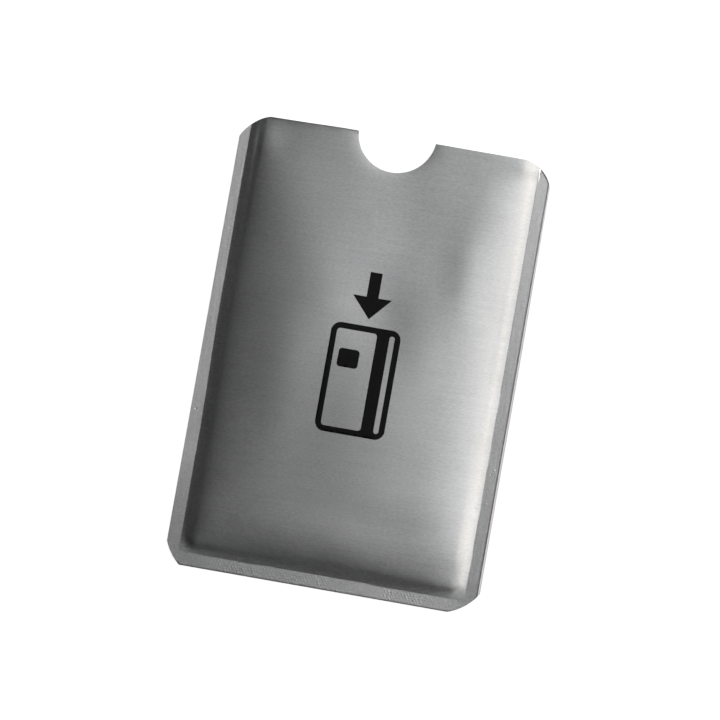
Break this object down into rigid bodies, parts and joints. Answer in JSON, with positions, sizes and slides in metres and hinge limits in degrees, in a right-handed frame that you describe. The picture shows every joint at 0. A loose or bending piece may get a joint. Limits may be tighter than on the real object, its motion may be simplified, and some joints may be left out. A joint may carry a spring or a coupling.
{
  "type": "rfid card sleeve",
  "caption": "Slim laminated-foil sleeve with a raised front pocket, welded edges and a thumb-notched open end, that holds and screens a contactless bank or transit card.",
  "frame": {"origin": "centre of the sleeve's bounding box in plan, on the surface that the back panel lies on", "axes": "+Z out of the printed front face, +Y lengthwise towards the open mouth with the thumb notch, +X across to the right as the front is viewed with the mouth up"},
  "size_m": [0.063, 0.091, 0.0021],
  "materials": {
    "brushed_film": "satin brushed metallised film, brushing across the width",
    "foil": "plain rolled foil",
    "sealing_film": "milky white heat-sealing film",
    "seal_band": "milky white film, melted and pressed",
    "ink": "satin black printed ink"
  },
  "bodies": {
    "root": {"front_outer_film": "brushed_film", "front_foil": "foil", "front_inner_film": "sealing_film", "back_inner_film": "sealing_film", "back_foil": "foil", "back_outer_film": "brushed_film", "left_side_seal": "seal_band", "right_side_seal": "seal_band", "bottom_seal": "seal_band", "front_print": "ink"}
  },
  "joints": []
}
